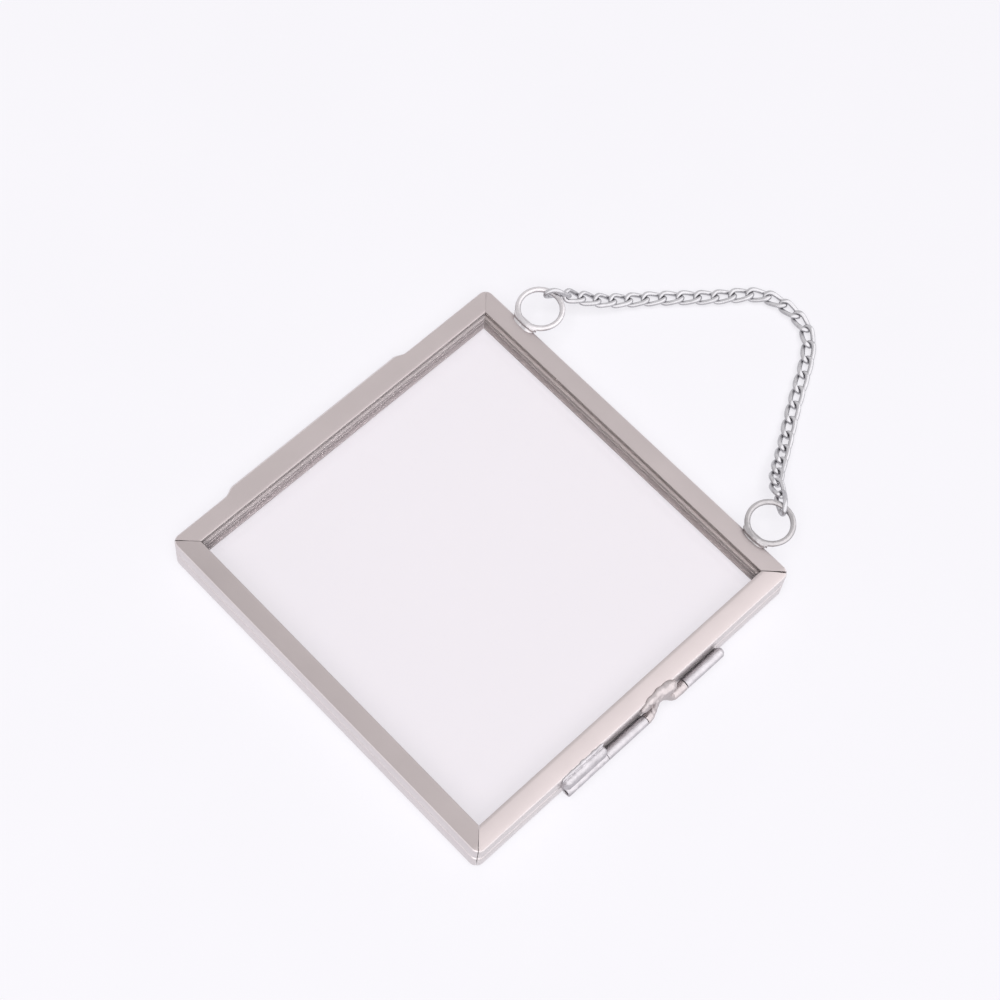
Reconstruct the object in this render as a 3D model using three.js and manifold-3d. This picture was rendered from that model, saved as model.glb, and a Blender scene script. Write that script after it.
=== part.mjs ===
// A small hinged picture frame: two glass panes in metal channel rails, hung on a curb chain.
// Millimetres. The frame lies closed on its back on the plane z = 0, with its front facing +Z.
// X runs along the edge that carries the rings and Y runs up the frame towards them.
// The origin is the middle of the bottom rail's back face.
import * as THREE from 'three';
import * as BufferGeometryUtils from 'three/addons/utils/BufferGeometryUtils.js';
import Module from 'manifold-3d';

const wasm = await Module();
wasm.setup();

// Frame halves: each one is a ring of four mitred channel rails round a pane
const frameWidth = 100;
const frameHeight = 98;
const faceWidth = 4.8;
const sheet = 0.6;
const cornerRadius = 1.5;
const rollRadius = 0.5;
const mitreGap = 0.15;
const seam = 0.6;

// Glass panes
const glassThickness = 3;
const glassSeatGap = 0.3;
const glassEdgeGap = 0.5;
const glassEdgeBevel = 0.25;

// Snap lip on the front half's left rail, and the bead on the rear half that it passes
const lipLength = 56;
const lipCentre = -5;
const lipProud = 1.1;
const lipTaper = 3.2;
const lipSheet = 0.5;
const lipFoot = 1.2;
const lipRoll = 0.4;
const lipRoot = 1.2;
const beadRadius = 0.35;
const beadLength = 40;
const beadHeight = 2.4;

// Hinge: four knuckles in a row, of the front and the rear half in turn
const knuckleRadius = 1.3;
const knuckleLength = 12.4;
const knuckleGap = 0.3;
const knuckleCount = 4;
const hingeCentre = 1;
const leafSheet = 0.4;
const leafReach = 4.2;
const leafBite = 0.1;
const pinRadius = 0.5;
const pinClearance = 0.3;
const pinInset = 1.5;
const capLength = 1.6;
const capTipRadius = 0.7;
const solderReach = 3.3;

// Crimp in the third knuckle, which squeezes it flat against the rail and up over the face's edge
const crimpCentre = 4.7;
const crimpSpread = 4;
const crimpOffset = 0.85;
const crimpRise = 3.9;
const crimpHalfThickness = 0.65;
const crimpHalfHeight = 2.7;
const crimpLean = 0.32;
const crimpLeanStart = 4.4;
const crimpLowerBore = 0.8;
const crimpUpperBore = 4;

// Hanging rings
const ringInset = 12.3;
const ringShift = 0.8;
const ringOuterRadius = 6;
const ringWire = 1.4;
const ringGap = 0.1;
const ringOverlap = 0.9;
const solderFoot = 9.6;
const solderThickness = 1;
const solderSpread = 38;
const filletDrop = 1.2;
const filletRise = 0.5;
const filletReach = 0.9;
const filletLength = 6.4;

// Curb chain
const chainLinks = 29;
const linkWire = 1.0;
const linkPitch = 4.3;
const linkHalfWidth = 1.3;
const linkClearance = 0.2;
const linkTwist = Math.PI / 4;
const endLinkHalfWidth = 1.75;
const endLinkClearance = 0.8;
const ringContact = THREE.MathUtils.degToRad(100);
const chainDropRun = 24;

// Where the chain lies between the rings: x from the middle and y beyond them, in ring spacings
const chainPlan = [
  [-0.474, 0.05],
  [-0.418, 0.127],
  [-0.326, 0.276],
  [-0.185, 0.444],
  [-0.09, 0.56],
  [0.008, 0.588],
  [0.101, 0.569],
  [0.161, 0.505],
  [0.247, 0.355],
  [0.34, 0.2],
  [0.421, 0.062],
  [0.458, 0.036],
];

// Facets
const rollSteps = 3;
const cornerSteps = 4;
const barrelSides = 20;
const crimpStations = 16;
const ringSteps = 36;
const ringSides = 10;
const linkSteps = 24;
const linkSides = 6;

// Sizes that follow from the ones above
const channelDepth = 2 * sheet + glassThickness + 2 * glassSeatGap;
const frameDepth = 2 * channelDepth + seam;
const seamTop = channelDepth + seam;
const halfWidth = frameWidth / 2;
const halfHeight = frameHeight / 2;
const hingeX = halfWidth + leafSheet - leafBite + knuckleRadius;
const hingeZ = frameDepth / 2;
const boreRadius = pinRadius + pinClearance;
const ringRadius = ringOuterRadius - ringWire / 2;
const ringSpacing = frameWidth - 2 * ringInset;
const ringY = halfHeight + ringOuterRadius - ringOverlap;
const ringZ = frameDepth + ringGap + ringWire / 2;

// Finishes
const frameFinish = { color: 0xbfb7b4, roughness: 0.42, metalness: 1 };
const brightFinish = { color: 0xd2cfd1, roughness: 0.32, metalness: 1 };
const chainFinish = { color: 0xc8c7ca, roughness: 0.28, metalness: 1 };
const glassFinish = { color: 0xf4f7f6, roughness: 0.03, metalness: 0, transparent: true, opacity: 0.25 };

// A closed geometry as a solid that can be joined and cut
function toSolid(geometry) {
  const bare = geometry.index ? geometry.toNonIndexed() : geometry.clone();
  bare.deleteAttribute('normal');
  bare.deleteAttribute('uv');
  const merged = BufferGeometryUtils.mergeVertices(bare, 1e-5);
  return new wasm.Manifold(new wasm.Mesh({
    numProp: 3,
    vertProperties: new Float32Array(merged.attributes.position.array),
    triVerts: new Uint32Array(merged.index.array),
  }));
}

// A solid back as a geometry
function toGeometry(solid) {
  const mesh = solid.getMesh();
  const geometry = new THREE.BufferGeometry();
  geometry.setAttribute('position', new THREE.BufferAttribute(new Float32Array(mesh.vertProperties), 3));
  geometry.setIndex(new THREE.BufferAttribute(new Uint32Array(mesh.triVerts), 1));
  geometry.computeVertexNormals();
  return geometry;
}

// A named mesh added to its group
function addPiece(group, name, geometry, finish) {
  const mesh = new THREE.Mesh(geometry, new THREE.MeshStandardMaterial(finish));
  mesh.name = name;
  group.add(mesh);
  return mesh;
}

// A box given by its two corners, for cutting
function block(low, high) {
  const size = new THREE.Vector3().subVectors(high, low);
  const geometry = new THREE.BoxGeometry(size.x, size.y, size.z);
  const middle = new THREE.Vector3().addVectors(low, high).multiplyScalar(0.5);
  return geometry.translate(middle.x, middle.y, middle.z);
}

// A shape extruded along Z from z = low to z = high, with rolled edges inside the outline
function rolledPlate(shape, low, high, roll) {
  const geometry = new THREE.ExtrudeGeometry(shape, {
    depth: high - low - 2 * roll,
    bevelEnabled: true,
    bevelThickness: roll,
    bevelSize: roll,
    bevelOffset: -roll,
    bevelSegments: rollSteps,
    curveSegments: cornerSteps,
  });
  return geometry.translate(0, 0, low + roll);
}

// The rounded outline that the four rails of a half share
function roundedOutline(width, height, radius) {
  const x = width / 2;
  const y = height / 2;
  const shape = new THREE.Shape();
  shape.moveTo(x, y - radius);
  shape.absarc(x - radius, y - radius, radius, 0, Math.PI / 2);
  shape.absarc(radius - x, y - radius, radius, Math.PI / 2, Math.PI);
  shape.absarc(radius - x, radius - y, radius, Math.PI, 1.5 * Math.PI);
  shape.absarc(x - radius, radius - y, radius, 1.5 * Math.PI, 2 * Math.PI);
  return shape;
}

// The channel's section: x is the depth inwards from the outer wall, y the height
function channelSection() {
  const shape = new THREE.Shape();
  shape.moveTo(0, 0);
  shape.lineTo(faceWidth, 0);
  shape.lineTo(faceWidth, sheet);
  shape.lineTo(sheet, sheet);
  shape.lineTo(sheet, channelDepth - sheet);
  shape.lineTo(faceWidth, channelDepth - sheet);
  shape.lineTo(faceWidth, channelDepth);
  shape.lineTo(0, channelDepth);
  return shape;
}

// A channel rail with mitred ends: it runs along X, with its outer wall at y = 0 and its slot facing +Y
function mitredChannel(length) {
  const geometry = new THREE.ExtrudeGeometry(channelSection(), { depth: length, bevelEnabled: false });
  const position = geometry.attributes.position;
  const cut = mitreGap / Math.SQRT2;
  for (let i = 0; i < position.count; i += 1) {
    const inward = position.getX(i);
    const height = position.getY(i);
    const end = position.getZ(i) > length / 2 ? 1 : -1;
    position.setXYZ(i, end * (length / 2 - inward - cut), inward, height);
  }
  return toSolid(geometry);
}

// Where each rail sits: its turn about Z, the distance out to its wall, and its length
const railPlaces = {
  bottom: { turn: 0, reach: halfHeight, length: frameWidth },
  right: { turn: 90, reach: halfWidth, length: frameHeight },
  top: { turn: 180, reach: halfHeight, length: frameWidth },
  left: { turn: 270, reach: halfWidth, length: frameHeight },
};

// A rail's solid moved from its own place, with the outer wall on the X axis, to its side of the frame
function placeRail(solid, { turn, reach }) {
  return solid.translate([0, -reach, 0]).rotate([0, 0, turn]);
}

// The snap lip in the rail's own place: a pressed bulge of the wall that hangs down past the rear half
function snapLip(centre) {
  const half = lipLength / 2;
  const shape = new THREE.Shape();
  shape.moveTo(-half, lipRoot);
  shape.lineTo(-half, 0);
  shape.bezierCurveTo(-half + lipTaper / 2, 0, -half + lipTaper / 2, -lipProud, -half + lipTaper, -lipProud);
  shape.lineTo(half - lipTaper, -lipProud);
  shape.bezierCurveTo(half - lipTaper / 2, -lipProud, half - lipTaper / 2, 0, half, 0);
  shape.lineTo(half, lipRoot);
  const drop = seamTop - lipFoot;
  const bulge = toSolid(rolledPlate(shape, -drop, channelDepth, lipRoll));
  const behindLip = block(
    new THREE.Vector3(-lipLength, lipSheet - lipProud, -2 * drop),
    new THREE.Vector3(lipLength, 2 * lipRoot, 0),
  );
  const slot = block(
    new THREE.Vector3(-lipLength, sheet, sheet),
    new THREE.Vector3(lipLength, 2 * lipRoot, channelDepth - sheet),
  );
  return bulge.subtract(toSolid(behindLip)).subtract(toSolid(slot)).translate([centre, 0, 0]);
}

// The four rails of one half, standing on z = 0
function halfRails(withLip) {
  const envelope = toSolid(rolledPlate(
    roundedOutline(frameWidth, frameHeight, cornerRadius), 0, channelDepth, rollRadius,
  ));
  const rails = {};
  for (const [side, place] of Object.entries(railPlaces)) {
    let rail = placeRail(mitredChannel(place.length), place).intersect(envelope);
    if (withLip && side === 'left') {
      rail = rail.add(placeRail(snapLip(-lipCentre), place));
    }
    rails[side] = toGeometry(rail);
  }
  return rails;
}

// A pane with its edges taken off, lying between the flanges of the half that stands on z = base
function glassPane(base) {
  const margin = 2 * (sheet + glassEdgeGap);
  const low = base + sheet + glassSeatGap;
  const outline = roundedOutline(frameWidth - margin, frameHeight - margin, cornerRadius - sheet);
  const geometry = new THREE.ExtrudeGeometry(outline, {
    depth: glassThickness - 2 * glassEdgeBevel,
    bevelEnabled: true,
    bevelThickness: glassEdgeBevel,
    bevelSize: glassEdgeBevel,
    bevelOffset: -glassEdgeBevel,
    bevelSegments: 1,
    curveSegments: cornerSteps,
  });
  return geometry.translate(0, 0, low + glassEdgeBevel);
}

// The half-round bead on the rear half's left wall, its flat side on the wall
function catchBead() {
  const shape = new THREE.Shape();
  shape.moveTo(0, beadRadius);
  shape.absarc(0, 0, beadRadius, Math.PI / 2, 1.5 * Math.PI);
  const geometry = new THREE.ExtrudeGeometry(shape, {
    depth: beadLength,
    bevelEnabled: false,
    curveSegments: cornerSteps,
  });
  geometry.rotateX(Math.PI / 2);
  return geometry.translate(-halfWidth, lipCentre + beadLength / 2, beadHeight);
}

// The place of a knuckle's lower end along the hinge
function knuckleStart(index) {
  return hingeCentre + (index - knuckleCount / 2) * knuckleLength + knuckleGap / 2;
}

const knuckleRun = knuckleLength - knuckleGap;

// Section of a leaf rolled into its barrel: x outwards from the rail's wall, y up from the pin
function leafSection(fillet) {
  const centre = hingeX - halfWidth;
  const join = Math.acos((leafSheet - centre) / knuckleRadius);
  const shape = new THREE.Shape();
  shape.moveTo(0, 0);
  shape.lineTo(centre - knuckleRadius, 0);
  if (fillet) {
    shape.absarc(centre, 0, knuckleRadius, Math.PI, 2.55 * Math.PI);
    shape.quadraticCurveTo(leafSheet, knuckleRadius, leafSheet, solderReach);
  } else {
    shape.absarc(centre, 0, knuckleRadius, Math.PI, 2 * Math.PI + join);
  }
  shape.lineTo(leafSheet, leafReach);
  shape.lineTo(0, leafReach);
  const bore = new THREE.Path();
  bore.absarc(centre, 0, boreRadius, 0, 2 * Math.PI, true);
  shape.holes.push(bore);
  return shape;
}

// A section drawn in the hinge's cross plane, run along Y from its start for the given length
function alongHinge(shape, start, length) {
  const geometry = new THREE.ExtrudeGeometry(shape, {
    depth: length,
    bevelEnabled: false,
    curveSegments: barrelSides / 2,
  });
  geometry.rotateX(Math.PI / 2);
  return geometry.translate(halfWidth, start + length, hingeZ);
}

// A knuckle with its leaf: up the front half's wall, or down the rear half's
function hingeLeaf(index, upward, fillet) {
  const geometry = alongHinge(leafSection(fillet), knuckleStart(index), knuckleRun);
  const solid = toSolid(geometry);
  return upward ? solid : solid.translate([0, 0, -hingeZ]).mirror([0, 0, 1]).translate([0, 0, hingeZ]);
}

// A turned piece on the pin's axis, from (radius, distance along) points that start and end on the axis
function turnedOnPin(points, start) {
  const geometry = new THREE.LatheGeometry(points.map(([r, y]) => new THREE.Vector2(r, y)), barrelSides);
  return geometry.translate(hingeX, start, hingeZ);
}

// The closed, bevelled cap at the upper end of the hinge
function hingeCap() {
  const start = knuckleStart(knuckleCount - 1) + knuckleRun - capLength;
  return toSolid(turnedOnPin([
    [0, 0],
    [knuckleRadius, 0],
    [knuckleRadius, capLength / 2],
    [capTipRadius, capLength],
    [0, capLength],
  ], start));
}

// The end of the last knuckle is bevelled to the cap's cone
function bevelUpperEnd(knuckle) {
  const end = knuckleStart(knuckleCount - 1) + knuckleRun;
  const cut = block(
    new THREE.Vector3(halfWidth - 1, end - capLength / 2, 0),
    new THREE.Vector3(hingeX + 2 * knuckleRadius, end + 1, frameDepth),
  );
  return knuckle.subtract(toSolid(cut)).add(hingeCap());
}

// How far the crimp has closed at a distance along its knuckle, from 0 to 1
function crimpShare(along) {
  const t = Math.min(Math.abs(along - crimpCentre) / crimpSpread, 1);
  return (1 + Math.cos(Math.PI * t)) / 2;
}

// The crimped knuckle: cross sections from a round barrel to a flat fold and back
function crimpedBarrel(start) {
  const positions = [];
  const indices = [];
  const sides = barrelSides;
  const round = hingeX - halfWidth;
  for (let i = 0; i <= crimpStations; i += 1) {
    const along = knuckleRun * i / crimpStations;
    const share = crimpShare(along);
    const centreX = THREE.MathUtils.lerp(round, crimpOffset, share);
    const centreZ = crimpRise * share;
    const halfThickness = THREE.MathUtils.lerp(knuckleRadius, crimpHalfThickness, share);
    const halfTall = THREE.MathUtils.lerp(knuckleRadius, crimpHalfHeight, share);
    for (let k = 0; k < sides; k += 1) {
      const angle = 2 * Math.PI * k / sides;
      const height = centreZ + halfTall * Math.sin(angle);
      const lean = crimpLean * share * Math.max(0, height - crimpLeanStart) ** 2;
      const outward = centreX + halfThickness * Math.cos(angle) - lean;
      positions.push(halfWidth + outward, start + along, hingeZ + height);
    }
  }
  const lowEnd = positions.length / 3;
  positions.push(hingeX, start, hingeZ);
  positions.push(hingeX, start + knuckleRun, hingeZ);
  const lastRow = crimpStations * sides;
  for (let k = 0; k < sides; k += 1) {
    const next = (k + 1) % sides;
    for (let i = 0; i < crimpStations; i += 1) {
      const row = i * sides;
      indices.push(row + k, row + sides + k, row + sides + next);
      indices.push(row + k, row + sides + next, row + next);
    }
    indices.push(lowEnd, k, next);
    indices.push(lowEnd + 1, lastRow + next, lastRow + k);
  }
  const geometry = new THREE.BufferGeometry();
  geometry.setAttribute('position', new THREE.Float32BufferAttribute(positions, 3));
  geometry.setIndex(indices);
  return toSolid(geometry);
}

// A bore on the pin's axis between two places along the hinge
function pinBore(start, end) {
  return toSolid(turnedOnPin([[0, 0], [boreRadius, 0], [boreRadius, end - start], [0, end - start]], start));
}

// The third knuckle: crimped on the ends of the two pins and soldered to the front half's wall
function crimpedKnuckle(index) {
  const start = knuckleStart(index);
  const end = start + knuckleRun;
  const strapLow = start + crimpCentre - crimpSpread / 2;
  const strap = block(
    new THREE.Vector3(halfWidth, strapLow, hingeZ + knuckleRadius),
    new THREE.Vector3(halfWidth + leafSheet, strapLow + crimpSpread, hingeZ + leafReach),
  );
  return crimpedBarrel(start)
    .add(toSolid(strap))
    .subtract(pinBore(start - 1, start + crimpLowerBore))
    .subtract(pinBore(end - crimpUpperBore, end + 1));
}

// A straight pin between two places along the hinge
function hingePin(start, end) {
  const run = end - start;
  return turnedOnPin([[0, 0], [pinRadius, 0], [pinRadius, run], [0, run]], start);
}

// A round wire along a closed curve
function closedWire(curve, steps, sides, radius) {
  const frames = curve.computeFrenetFrames(steps, true);
  const positions = [];
  const indices = [];
  for (let i = 0; i < steps; i += 1) {
    const centre = curve.getPointAt(i / steps);
    for (let k = 0; k < sides; k += 1) {
      const angle = 2 * Math.PI * k / sides;
      const point = centre.clone()
        .addScaledVector(frames.normals[i], radius * Math.cos(angle))
        .addScaledVector(frames.binormals[i], radius * Math.sin(angle));
      positions.push(point.x, point.y, point.z);
      const row = i * sides;
      const nextRow = ((i + 1) % steps) * sides;
      const next = (k + 1) % sides;
      indices.push(row + k, row + next, nextRow + next);
      indices.push(row + k, nextRow + next, nextRow + k);
    }
  }
  const geometry = new THREE.BufferGeometry();
  geometry.setAttribute('position', new THREE.Float32BufferAttribute(positions, 3));
  geometry.setIndex(indices);
  geometry.computeVertexNormals();
  return geometry;
}

// The fillet of solder in the corner under a ring, drawn from the wall outwards and run along X
function solderFillet() {
  const shape = new THREE.Shape();
  shape.moveTo(0, -filletDrop);
  shape.quadraticCurveTo(filletReach / 3, -filletDrop / 3, filletReach, filletRise);
  shape.lineTo(0, filletRise);
  const geometry = new THREE.ExtrudeGeometry(shape, {
    depth: filletLength,
    bevelEnabled: false,
    curveSegments: cornerSteps,
  });
  geometry.rotateZ(Math.PI / 2).rotateY(Math.PI / 2);
  return geometry.translate(-filletLength / 2, 0, 0);
}

// A hanging ring that lies on the rail's outer edge, with the solder that joins it to the face and the wall
function hangingRing(x) {
  const profile = [];
  for (let k = 0; k <= ringSides; k += 1) {
    const angle = 2 * Math.PI * k / ringSides;
    profile.push(new THREE.Vector2(
      ringRadius + ringWire / 2 * Math.cos(angle),
      ringWire / 2 * Math.sin(angle),
    ));
  }
  const wire = toSolid(new THREE.LatheGeometry(profile, ringSteps).rotateX(Math.PI / 2));
  const edge = ringOverlap - ringOuterRadius;
  const face = -ringWire / 2 - ringGap;
  const spread = THREE.MathUtils.degToRad(solderSpread);
  const shoulderX = ringRadius * Math.sin(spread);
  const shoulderY = -ringRadius * Math.cos(spread);
  const shape = new THREE.Shape();
  shape.moveTo(-solderFoot / 2, edge);
  shape.quadraticCurveTo(-shoulderX, edge, -shoulderX, shoulderY);
  shape.absarc(0, 0, ringRadius, 1.5 * Math.PI - spread, 1.5 * Math.PI + spread);
  shape.quadraticCurveTo(shoulderX, edge, solderFoot / 2, edge);
  shape.quadraticCurveTo(0, -ringOuterRadius - ringOverlap, -solderFoot / 2, edge);
  const foot = new THREE.ExtrudeGeometry(shape, {
    depth: solderThickness,
    bevelEnabled: false,
    curveSegments: 2 * cornerSteps,
  });
  foot.translate(0, 0, face);
  const fillet = toSolid(solderFillet()).translate([0, edge, face]);
  return toGeometry(wire.add(toSolid(foot)).add(fillet).translate([x, ringY, ringZ]));
}

// The middle between the points where the chain hangs on the ring wires, on the line that it swings on
const swingX = ringShift + ringRadius * Math.cos(ringContact);
const swingY = ringY + ringRadius * Math.sin(ringContact);

// The chain's route from ring to ring: its plan, and a height that falls off the rings and lies flat
class ChainRoute extends THREE.Curve {
  constructor(stretch, lowest) {
    super();
    const plan = [[-0.5, 0], ...chainPlan, [0.5, 0]];
    this.lowest = lowest;
    this.plan = new THREE.CatmullRomCurve3(plan.map(([across, beyond]) => new THREE.Vector3(
      swingX + ringSpacing * across,
      swingY + ringSpacing * beyond * stretch,
      0,
    )));
    this.plan.arcLengthDivisions = 1000;
    this.length = this.plan.getLength();
  }

  getPoint(t, target = new THREE.Vector3()) {
    this.plan.getPointAt(t, target);
    const share = Math.max(0, 1 - (target.y - swingY) / chainDropRun);
    return target.setZ(this.lowest + (ringZ - this.lowest) * share * share);
  }
}

// The point of a route that lies one pitch on from a place on it
function stepAlong(route, from) {
  const here = route.getPoint(from);
  let low = from;
  let high = Math.min(1, from + 2 * linkPitch / route.length);
  for (let i = 0; i < 40; i += 1) {
    const middle = (low + high) / 2;
    if (route.getPoint(middle).distanceTo(here) < linkPitch) {
      low = middle;
    } else {
      high = middle;
    }
  }
  return high;
}

// The joints between links, one pitch apart: the route is stretched so that the last one falls on the
// right-hand ring
function chainJoints(lowest) {
  let low = 0.5;
  let high = 2;
  let joints = [];
  for (let i = 0; i < 30; i += 1) {
    const stretch = (low + high) / 2;
    const route = new ChainRoute(stretch, lowest);
    joints = [route.getPoint(0)];
    let place = 0;
    for (let k = 1; k < chainLinks; k += 1) {
      place = stepAlong(route, place);
      joints.push(route.getPoint(place));
    }
    const last = route.getPoint(1);
    const spare = place >= 1 ? -1 : joints[chainLinks - 1].distanceTo(last) - linkPitch;
    joints.push(last);
    if (spare > 0) {
      high = stretch;
    } else {
      low = stretch;
    }
  }
  return joints;
}

// The centre line of one link, along X about its middle: the two ends lie in different planes
function linkCurve(low, high) {
  const points = [];
  const twistAt = (x) => THREE.MathUtils.mapLinear(x, -low.reach, high.reach, low.twist, high.twist);
  const arcSteps = 6;
  for (const [end, sign] of [[high, 1], [low, -1]]) {
    for (let k = 0; k <= arcSteps; k += 1) {
      const angle = Math.PI * (k / arcSteps - 0.5);
      const x = sign * (end.reach - end.halfWidth + end.halfWidth * Math.cos(angle));
      const across = sign * end.halfWidth * Math.sin(angle);
      const twist = twistAt(x);
      points.push(new THREE.Vector3(x, across * Math.cos(twist), across * Math.sin(twist)));
    }
  }
  return new THREE.CatmullRomCurve3(points, true);
}

// The ends of each link: how far they reach, how wide they are and how they are turned
function linkEnds(index) {
  const reach = (linkPitch + linkWire + linkClearance) / 2;
  const low = { reach, halfWidth: linkHalfWidth, twist: linkTwist };
  const high = { reach, halfWidth: linkHalfWidth, twist: -linkTwist };
  const onRing = {
    reach: (linkPitch + ringWire + linkWire) / 2 + endLinkClearance,
    halfWidth: endLinkHalfWidth,
    twist: Math.PI / 2,
  };
  if (index === 0) {
    return [onRing, { ...high, twist: Math.PI - linkTwist }];
  }
  return index === chainLinks - 1 ? [low, onRing] : [low, high];
}

// The links in place, along a chain whose flat stretch lies at the given height
function chainGeometries(lowest) {
  const joints = chainJoints(lowest);
  const up = new THREE.Vector3(0, 0, 1);
  return joints.slice(1).map((next, index) => {
    const joint = joints[index];
    const along = new THREE.Vector3().subVectors(next, joint).normalize();
    const middle = new THREE.Vector3().addVectors(joint, next).multiplyScalar(0.5);
    const across = new THREE.Vector3().crossVectors(up, along).normalize();
    const normal = new THREE.Vector3().crossVectors(along, across);
    const [low, high] = linkEnds(index);
    const geometry = closedWire(linkCurve(low, high), linkSteps, linkSides, linkWire / 2);
    const place = new THREE.Matrix4().makeBasis(along, across, normal).setPosition(middle);
    return geometry.applyMatrix4(place);
  });
}

// The lowest point of a list of geometries
function lowestPoint(geometries) {
  return Math.min(...geometries.map((geometry) => {
    geometry.computeBoundingBox();
    return geometry.boundingBox.min.z;
  }));
}

// The chain lowered until its bend lies on the plane z = 0
function restingChain() {
  let lowest = linkHalfWidth;
  for (let i = 0; i < 3; i += 1) {
    lowest -= lowestPoint(chainGeometries(lowest));
  }
  return chainGeometries(lowest);
}

// Rear half: lies on its back and carries everything
function rearHalf() {
  const group = new THREE.Group();
  for (const [side, geometry] of Object.entries(halfRails(false))) {
    addPiece(group, `rear_rail_${side}`, geometry, frameFinish);
  }
  addPiece(group, 'rear_glass_pane', glassPane(0), glassFinish);
  addPiece(group, 'rear_catch_bead', catchBead(), frameFinish);
  addPiece(group, 'rear_hinge_knuckle_middle', toGeometry(hingeLeaf(1, false, false)), brightFinish);
  const upper = bevelUpperEnd(hingeLeaf(3, false, false));
  addPiece(group, 'rear_hinge_knuckle_upper', toGeometry(upper), brightFinish);
  return group;
}

// Front half: swings on the hinge and carries the rings
function frontHalf() {
  const group = new THREE.Group();
  for (const [side, geometry] of Object.entries(halfRails(true))) {
    geometry.translate(0, 0, seamTop);
    addPiece(group, `front_rail_${side}`, geometry, frameFinish);
  }
  addPiece(group, 'front_glass_pane', glassPane(seamTop), glassFinish);
  addPiece(group, 'front_hinge_knuckle_lower', toGeometry(hingeLeaf(0, true, true)), brightFinish);
  addPiece(group, 'front_hinge_knuckle_crimped', toGeometry(crimpedKnuckle(2)), brightFinish);
  const crimpStart = knuckleStart(2);
  const lowerPin = hingePin(knuckleStart(0) + pinInset, crimpStart + crimpLowerBore - pinClearance);
  const upperPin = hingePin(
    crimpStart + knuckleRun - crimpUpperBore + pinClearance,
    knuckleStart(3) + knuckleRun - capLength - pinClearance,
  );
  addPiece(group, 'hinge_pin_lower', lowerPin, brightFinish);
  addPiece(group, 'hinge_pin_upper', upperPin, brightFinish);
  addPiece(group, 'hanging_ring_left', hangingRing(ringShift - ringSpacing / 2), brightFinish);
  addPiece(group, 'hanging_ring_right', hangingRing(ringShift + ringSpacing / 2), brightFinish);
  return group;
}

// Chain: its links, from the left-hand ring to the right-hand one
function hangingChain() {
  const group = new THREE.Group();
  restingChain().forEach((geometry, index) => {
    const number = String(index + 1).padStart(2, '0');
    addPiece(group, `chain_link_${number}`, geometry, chainFinish);
  });
  return group;
}

const pictureFrame = new THREE.Group();
pictureFrame.add(rearHalf(), frontHalf(), hangingChain());
pictureFrame.position.y = (frameHeight - faceWidth) / 2;

export default pictureFrame;
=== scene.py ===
# A small hinged glass picture frame with a curb chain, lying closed on a pale studio floor.
# Metres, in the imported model's frame: +X right along the ringed edge, +Y up the frame, +Z out of its face.
import math
from collections import namedtuple

import bmesh
import bpy
from mathutils import Matrix, Vector, noise


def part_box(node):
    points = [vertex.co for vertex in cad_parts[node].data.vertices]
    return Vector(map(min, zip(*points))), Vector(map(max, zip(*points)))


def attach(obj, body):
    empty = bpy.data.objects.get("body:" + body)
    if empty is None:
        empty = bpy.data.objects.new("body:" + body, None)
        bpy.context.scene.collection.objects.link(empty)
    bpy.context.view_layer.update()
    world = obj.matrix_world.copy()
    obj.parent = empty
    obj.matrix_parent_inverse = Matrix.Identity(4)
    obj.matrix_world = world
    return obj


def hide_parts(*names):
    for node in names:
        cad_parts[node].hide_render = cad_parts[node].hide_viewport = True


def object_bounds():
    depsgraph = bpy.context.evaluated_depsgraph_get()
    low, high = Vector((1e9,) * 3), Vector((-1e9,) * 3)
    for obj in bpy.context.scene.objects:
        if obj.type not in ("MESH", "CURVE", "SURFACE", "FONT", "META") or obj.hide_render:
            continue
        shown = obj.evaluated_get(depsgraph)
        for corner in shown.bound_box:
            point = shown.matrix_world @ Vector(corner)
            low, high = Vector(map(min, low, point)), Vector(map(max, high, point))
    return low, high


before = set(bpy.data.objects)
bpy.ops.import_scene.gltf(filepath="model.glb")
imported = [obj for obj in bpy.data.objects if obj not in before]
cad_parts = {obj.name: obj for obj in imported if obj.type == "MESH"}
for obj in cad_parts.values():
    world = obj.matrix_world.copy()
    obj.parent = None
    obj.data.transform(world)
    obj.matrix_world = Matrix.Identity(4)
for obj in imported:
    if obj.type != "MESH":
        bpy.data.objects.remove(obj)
cad_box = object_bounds()

MM = 0.001

# Camera: where the photograph was taken from
CAMERA_TARGET = Vector((-10.52, 63.06, 0)) * MM
CAMERA_AZIMUTH = math.radians(39.025)
CAMERA_ELEVATION = math.radians(64.280)
CAMERA_ROLL = math.radians(7.884)
CAMERA_DISTANCE = 568.92 * MM
CAMERA_LENS = 88.126
SENSOR_WIDTH = 36.0
NEAR_CLIP = 0.01

# Rails: the sheet, its rolled edges and corners, the crown of its face, and the strip of painted light in
# its slot
SHEET = 0.6 * MM
ROLL = 0.5 * MM
INNER_ROLL = 0.14 * MM
CORNER = 2.1 * MM
FACE_CROWN = 0.16 * MM
HINGE_SIDE_FALL = 0.17 * MM
STRIP_START = 4.1 * MM
ROLL_STEPS = 4
INNER_ROLL_STEPS = 3
CROWN_STEPS = 6
RAIL_SHARP_ANGLE = 50

# How a rail is divided along its length, and how closely at its ends as a share of half of it
RAIL_STEPS = 48
END_STEPS = 6
END_STEP = 0.0045

# How far each rail stands off the mitre at the four corners
MITRE_TOP_LEFT = 0.015 * MM
MITRE_TOP_RIGHT = 0.09 * MM
MITRE_BOTTOM_LEFT = 0.05 * MM
MITRE_BOTTOM_RIGHT = 0.04 * MM

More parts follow.
